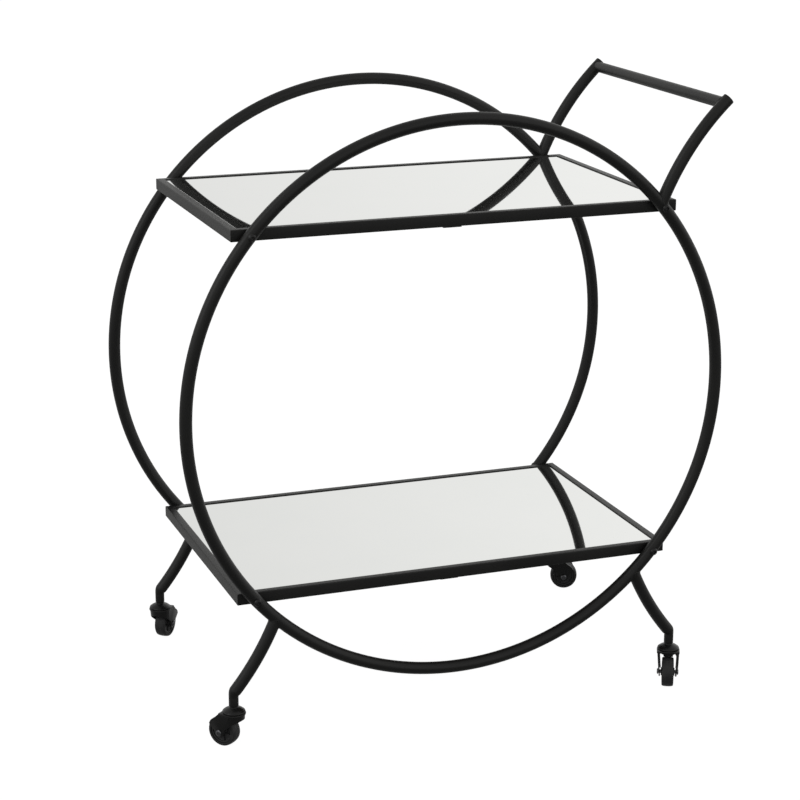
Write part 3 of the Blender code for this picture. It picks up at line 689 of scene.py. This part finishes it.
def bolt_mesh():
    """A button head with a hexagonal socket, and the washer face it is tightened on."""
    profile = [
        (0, BOLT_HEAD_HEIGHT),
        (0.0030, BOLT_HEAD_HEIGHT),
        (0.0047, 0.0016),
        (BOLT_HEAD_RADIUS, 0.0005),
        (BOLT_HEAD_RADIUS, 0),
        (BOLT_RADIUS, 0),
        (BOLT_RADIUS, -BOLT_LENGTH),
        (0, -BOLT_LENGTH),
    ]
    body = turned("shelf_bolt", profile, 0.0006, 40)
    hexagon = [(BOLT_RECESS * cos(a), BOLT_RECESS * sin(a)) for a in circle(6)]
    recess = plate("hex", hexagon, 0.0040, 0.00005)
    recess.transform(Matrix.Translation((0, 0, 0.0034)))
    return combined("shelf_bolt", body, [recess], "DIFFERENCE")


def bolts():
    pattern = bolt_mesh()
    for level in ("upper", "lower"):
        for corner, (side, depth) in CORNERS.items():
            low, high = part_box(f"bolt_{level}_{corner}")
            centre = (low + high) / 2
            seat = depth * (HOOP_Y + TUBE_RADIUS + CAD_GAP)
            tightened = Matrix.Rotation(side * 0.4 + depth, 4, "Z")
            outward = Matrix.Rotation(depth * -pi / 2, 4, "X")
            place = Matrix.Translation((centre.x, seat, centre.z)) @ outward @ tightened
            node = f"bolt_{level}_{corner}"
            mesh = pattern.copy()
            mesh.name = f"{node}_button"
            piece(mesh.name, mesh, OXIDE, replaces=[node], place=place)


# ---------------------------------------------------------------- casters


def arc(centre, radius, first, last, steps):
    angles = np.linspace(radians(first), radians(last), steps + 1)
    return [(centre[0] + radius * cos(a), centre[1] + radius * sin(a)) for a in angles]


def fork_nose():
    """The skirt round the crown's front, which tapers with the sides and has a raked lower edge."""
    rings = []
    for angle in np.linspace(pi / 2, 3 * pi / 2, 41):
        ahead = FORK_HALF_WIDTH * (1 + cos(angle))
        foot = CROWN_TOP - SKIRT_DEPTH - ahead * tan(SKIRT_RAKE)
        outer = FORK_HALF_WIDTH - CAD_GAP - (CROWN_TOP - CROWN_MIDDLE) * tan(FORK_TAPER)
        outer_foot = FORK_HALF_WIDTH - CAD_GAP - (CROWN_TOP - foot) * tan(FORK_TAPER)
        corners = [
            (outer, CROWN_MIDDLE),
            (outer_foot, foot, PLATE_EASING),
            (outer_foot - SKIRT_WALL, foot, PLATE_EASING),
            (outer - SKIRT_WALL, CROWN_MIDDLE),
        ]
        section = rounded(corners, 0, 3)
        rings.append([(p.x * cos(angle), p.x * sin(angle), p.y) for p in section])
    return skin("fork_nose", rings)


def fender_line(eye):
    """The rear edge of a side, which comes out of the wheel's outline as it climbs."""
    line = []
    for angle in np.linspace(FENDER_FIRST, FENDER_LAST, 12):
        climb = sin(radians(angle - FENDER_FIRST) * FENDER_SPREAD)
        reach = WHEEL_RADIUS - FENDER_DROP + FENDER_SWELL * climb
        a = radians(angle)
        line.append((eye[0] + reach * cos(a), eye[1] + reach * sin(a)))
    return line


def fork_sides():
    """The two sides, each with a flange turned in along its rear edge."""
    eye = (CASTER_TRAIL, WHEEL_RADIUS)
    fender = fender_line(eye)
    foot = CROWN_TOP - SKIRT_DEPTH - (FORK_HALF_WIDTH - FORK_LAP) * tan(SKIRT_RAKE) - CAD_GAP
    corners = [(DECK_REAR, CROWN_MIDDLE), (-FORK_LAP, CROWN_MIDDLE), (-FORK_LAP, foot)]
    corners += arc(eye, FORK_EYE, 150, 372, 24) + [(*fender[0], 0.0024)] + fender[1:]
    outline = [tuple(p) for p in rounded(corners, 0, 5, closed=True)]
    edge = [Vector(p) for p in fender[1:]]
    inner = [p + (Vector(eye) - p).normalized() * FORK_PLATE for p in edge]
    edge_top = Vector((DECK_REAR - 0.0002, CROWN_MIDDLE - 0.0006))
    inner_top = edge_top - Vector((FORK_PLATE, 0))
    flange = [tuple(p) for p in [*edge, edge_top, inner_top, *inner[::-1]]]
    hinge = Matrix.Translation((0, 0, CROWN_TOP))
    upright = Matrix.Rotation(pi / 2, 4, "X")
    sides = []
    for side in (-1, 1):
        lean = hinge @ Matrix.Rotation(-side * FORK_TAPER, 4, "X") @ hinge.inverted()
        for shape, thickness, inset in ((outline, FORK_PLATE, 0), (flange, FORK_FLANGE, CAD_GAP)):
            mesh = plate("fork_side", shape, thickness, PLATE_EASING)
            out = Matrix.Translation((0, side * (FORK_HALF_WIDTH - thickness / 2 - inset), 0))
            mesh.transform(out @ lean @ upright)
            sides.append(mesh)
    return sides


def fork_tab():
    """The tongue bent down from the middle of the deck's rear edge, just clear of the wheel."""
    corners = [
        (-TAB_HALF_WIDTH, TAB_FOOT, 0.0012),
        (TAB_HALF_WIDTH, TAB_FOOT, 0.0012),
        (TAB_HALF_WIDTH, CROWN_MIDDLE),
        (-TAB_HALF_WIDTH, CROWN_MIDDLE),
    ]
    outline = [tuple(p) for p in rounded(corners, 0, 3, closed=True)]
    mesh = plate("fork_tab", outline, TAB_THICKNESS, 0.0003)
    upright = Matrix.Rotation(pi / 2, 4, "Z") @ Matrix.Rotation(pi / 2, 4, "X")
    mesh.transform(Matrix.Translation((DECK_REAR - TAB_SETBACK, 0, 0)) @ upright)
    return mesh


def fork_pattern():
    """A pressed hood: a crown plate that is round at its nose, its skirt, its tab and two sides."""
    plan = arc((0, 0), CROWN_RADIUS, 90, 270, 40)
    plan += [(DECK_REAR, -CROWN_RADIUS, 0.002), (DECK_REAR, CROWN_RADIUS, 0.002)]
    outline = [tuple(p) for p in rounded(plan, 0, 5, closed=True)]
    crown = plate("fork", outline, CROWN_THICKNESS, 0.0010)
    crown.transform(Matrix.Translation((0, 0, CROWN_MIDDLE)))
    hood = combined("fork", crown, [*fork_sides(), fork_nose(), fork_tab()], "UNION")
    bore = turned("bore", [(0, 0.06), (STEM_BORE, 0.06), (STEM_BORE, 0.03), (0, 0.03)], 0, 40)
    return combined("fork", hood, [bore], "DIFFERENCE")


def axle_pattern():
    """The axle, with a flat button head at each end."""
    top = AXLE_SEAT + 0.0016
    half = [
        (0, top),
        (0.0030, top, 0.0008),
        (AXLE_HEAD, AXLE_SEAT + 0.0006),
        (AXLE_HEAD, AXLE_SEAT, 0.0001),
        (AXLE_RADIUS, AXLE_SEAT, 0),
    ]
    return turned("axle", half + reflected(half), 0.0006, 32)


def hub_pattern():
    """The rim, a dished web with six ribs on each side, and the boss on the axle."""
    rim, web, boss = 0.00675, 0.00455, 0.00925
    half = [
        (0.0028, boss),
        (0.0055, boss, 0.0006),
        (0.0058, web, 0.0008),
        (0.0129, web, 0.0008),
        (0.0131, rim),
        (0.0155, rim),
    ]
    disc = turned("hub", half + reflected(half), 0.0004, 56, ring=True)
    ribs = []
    for k in range(6):
        box = [(0.0050, -0.0006), (0.0138, -0.0006), (0.0138, 0.0006), (0.0050, 0.0006)]
        rib = plate("rib", box, 2 * (rim - 0.0006), 0.0002)
        rib.transform(Matrix.Rotation(radians(60 * k + 15), 4, "Z"))
        ribs.append(rib)
    return combined("hub", disc, ribs, "UNION")


def tyre_pattern():
    """A soft tread with rounded shoulders and a parting line round its middle."""
    half = [
        (TREAD_BORE, TREAD_HALF_WIDTH),
        (WHEEL_RADIUS - 0.0008, TREAD_HALF_WIDTH, 0.0026),
        (WHEEL_RADIUS, 0.0030, 0.0022),
        (WHEEL_RADIUS, 0.0003, 0),
    ]
    profile = [*half, (WHEEL_RADIUS - PARTING_LINE, 0, 0), *reflected(half)]
    return turned("tyre", profile, 0.0005, 72, ring=True, steps=5)


def race_pattern():
    """The pressed cup over the swivel's balls, with a rolled rim, and the collar round the stem."""
    foot = CROWN_TOP + 0.0004
    top = foot + 0.0080
    profile = [
        (STEM_BORE, top),
        (COLLAR_RADIUS, top),
        (COLLAR_RADIUS, foot + 0.0064, 0.0006),
        (0.0112, foot + 0.0041, 0.0030),
        (RACE_RADIUS, foot + 0.0014, 0.0008),
        (RACE_RADIUS, foot, 0.0005),
        (STEM_BORE, foot),
    ]
    return turned("race", profile, 0.0003, 56, ring=True, steps=5)


def stem_pattern():
    """The stem, riveted over below the flange that the fork turns on."""
    low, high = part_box("caster_stem_front_left")
    profile = [
        (0, high.z),
        (STEM_RADIUS, high.z, 0.0012),
        (STEM_RADIUS, STEM_FLANGE_TOP, 0),
        (STEM_FLANGE, STEM_FLANGE_TOP),
        (STEM_FLANGE, low.z, 0.0011),
        (0.0046, low.z, 0.0002),
        (0.0040, low.z + 0.0007, 0.0002),
        (0, low.z + 0.0007),
    ]
    return turned("stem", profile, 0.0004, 48)


def casters():
    """Each corner's caster stands at its own joints, with the pieces of one pattern."""
    patterns = {
        "fork": (fork_pattern(), CASTER_STEEL, "caster_steel", "swivel"),
        "axle": (axle_pattern(), ZINC, "zinc_steel", "swivel"),
        "hub": (hub_pattern(), PLASTIC, "wheel_plastic", "wheel"),
        "tyre": (tyre_pattern(), RUBBER, "wheel_rubber", "wheel"),
        "race": (race_pattern(), CASTER_STEEL, "caster_steel", "frame"),
        "stem": (stem_pattern(), CASTER_STEEL, "caster_steel", "frame"),
    }
    joints = {joint["name"]: joint for joint in frame["joints"]}
    for corner in CORNERS:
        pivot = Vector(joints[f"caster_swivel_{corner}"]["pos_m"])
        axle = Vector(joints[f"wheel_spin_{corner}"]["pos_m"])
        heading = atan2(axle.y - pivot.y, axle.x - pivot.x)
        upright = Matrix.Translation((pivot.x, pivot.y, 0)) @ Matrix.Rotation(heading, 4, "Z")
        to_axle = Matrix.Translation((CASTER_TRAIL, 0, WHEEL_RADIUS))
        wheel = upright @ to_axle @ Matrix.Rotation(pi / 2, 4, "X")
        for part, (pattern, material, slot, group) in patterns.items():
            node = f"caster_{part}_{corner}"
            body = "frame" if group == "frame" else f"{group}_{corner}"
            mesh = pattern.copy()
            mesh.name = f"{node}_fine"
            place = wheel if part in ("axle", "hub", "tyre") else upright
            piece(mesh.name, mesh, material, body, [node], place)


for name, depth in (("front", -1), ("rear", 1)):
    hoop(name, depth)
    arm(name, depth)
handle()
for level in ("upper", "lower"):
    shelf(level)
bolts()
for corner, (side, depth) in CORNERS.items():
    leg(corner, side, depth)
    socket(corner)
casters()


# ---------------------------------------------------------------- studio


def environment():
    """A bright studio above the horizon, brightest to the right, and a dimmer ground below it.

    Each ramp's stops are two directions and the strength at each of them.
    """
    world = bpy.data.worlds.new("studio")
    bpy.context.scene.world = world
    world.use_nodes = True
    tree = world.node_tree
    direction = tree.nodes.new("ShaderNodeTexCoord").outputs["Generated"]
    split = tree.nodes.new("ShaderNodeSeparateXYZ")
    tree.links.new(direction, split.inputs[0])

    def ramp(source, stops):
        node = tree.nodes.new("ShaderNodeMapRange")
        node.interpolation_type = "SMOOTHSTEP"
        for key, value in zip(("From Min", "From Max", "To Min", "To Max"), stops):
            node.inputs[key].default_value = value
        tree.links.new(source, node.inputs["Value"])
        return node.outputs["Result"]

    def math(operation, first, second):
        node = tree.nodes.new("ShaderNodeMath")
        node.operation = operation
        for socket, value in zip(node.inputs, (first, second)):
            if isinstance(value, float):
                socket.default_value = value
            else:
                tree.links.new(value, socket)
        return node.outputs[0]

    x, y, z = split.outputs
    to_the_right = ramp(x, (0.0, 0.72, 0.775, 1.07))
    to_the_rear = ramp(y, (-0.8, 0.3, 0.88, 1.0))
    overhead = ramp(z, (0.30, 1.0, 0.95, 0.55))
    upper = math("MULTIPLY", overhead, math("MULTIPLY", to_the_right, to_the_rear))
    lower = ramp(y, (-0.3, 0.8, 0.16, 0.45))
    upper_share = ramp(z, (-0.14, 0.06, 0.0, 1.0))
    lower_share = math("SUBTRACT", 1.0, upper_share)
    sky = math("MULTIPLY", upper, upper_share)
    ground = math("MULTIPLY", lower, lower_share)
    strength = math("ADD", sky, ground)
    tree.links.new(strength, tree.nodes["Background"].inputs["Strength"])
    tree.nodes["Background"].inputs["Color"].default_value = (1.0, 1.0, 0.985, 1)


def stage_object(name, mesh, colour, glow):
    """A backdrop that only the camera sees: it neither lights the cart nor shows in its mirrors."""
    item = bpy.data.objects.new(name, mesh)
    bpy.context.scene.collection.objects.link(item)
    n = Nodes(name)
    n.set(Base_Color=(*colour, 1), Roughness=0.9, Specular_IOR_Level=0.0)
    n.set(Emission_Color=(1, 1, 1, 1), Emission_Strength=glow)
    mesh.materials.append(n.material)
    item.visible_glossy = False
    item.visible_diffuse = False
    item.visible_shadow = False
    item.visible_transmission = False


def backdrop():
    reach, radius = 12, 11.5
    corners = [(-reach, -reach, 0), (reach, -reach, 0), (reach, reach, 0), (-reach, reach, 0)]
    floor = bpy.data.meshes.new("floor")
    floor.from_pydata(corners, [], [(0, 1, 2, 3)])
    stage_object("floor", floor, (0.12, 0.12, 0.12), 0.97)
    shape = bmesh.new()
    bmesh.ops.create_uvsphere(shape, u_segments=48, v_segments=24, radius=radius)
    dome = bpy.data.meshes.new("backdrop")
    shape.to_mesh(dome)
    shape.free()
    stage_object("backdrop", dome, (0.0, 0.0, 0.0), 1.1)


def softbox():
    """A large soft lamp to the upper left, turned to the cart's middle."""
    key = bpy.data.lights.new("softbox", "AREA")
    key.shape = "RECTANGLE"
    key.size, key.size_y = 1.6, 2.2
    key.energy = 14
    lamp = bpy.data.objects.new("softbox", key)
    bpy.context.scene.collection.objects.link(lamp)
    lamp.location = (-2.6, -0.6, 2.2)
    aim = Vector((0, 0, 0.45)) - lamp.location
    lamp.rotation_euler = aim.to_track_quat("-Z", "Y").to_euler()
    lamp.visible_camera = False


def view():
    camera = bpy.data.cameras.new("camera")
    camera.lens = 97.79368
    camera.sensor_width = 36
    camera.clip_end = 60
    eye = bpy.data.objects.new("camera", camera)
    bpy.context.scene.collection.objects.link(eye)
    place = Matrix.Translation((-0.988075, -2.642469, 1.195239))
    turn = Matrix.Rotation(radians(-20.24641), 4, "Z")
    tilt = Matrix.Rotation(radians(90 - 16.16243), 4, "X")
    roll = Matrix.Rotation(radians(0.16986), 4, "Z")
    eye.matrix_world = place @ turn @ tilt @ roll
    bpy.context.scene.camera = eye
    bpy.context.scene.view_settings.view_transform = "Standard"


environment()
backdrop()
softbox()
view()
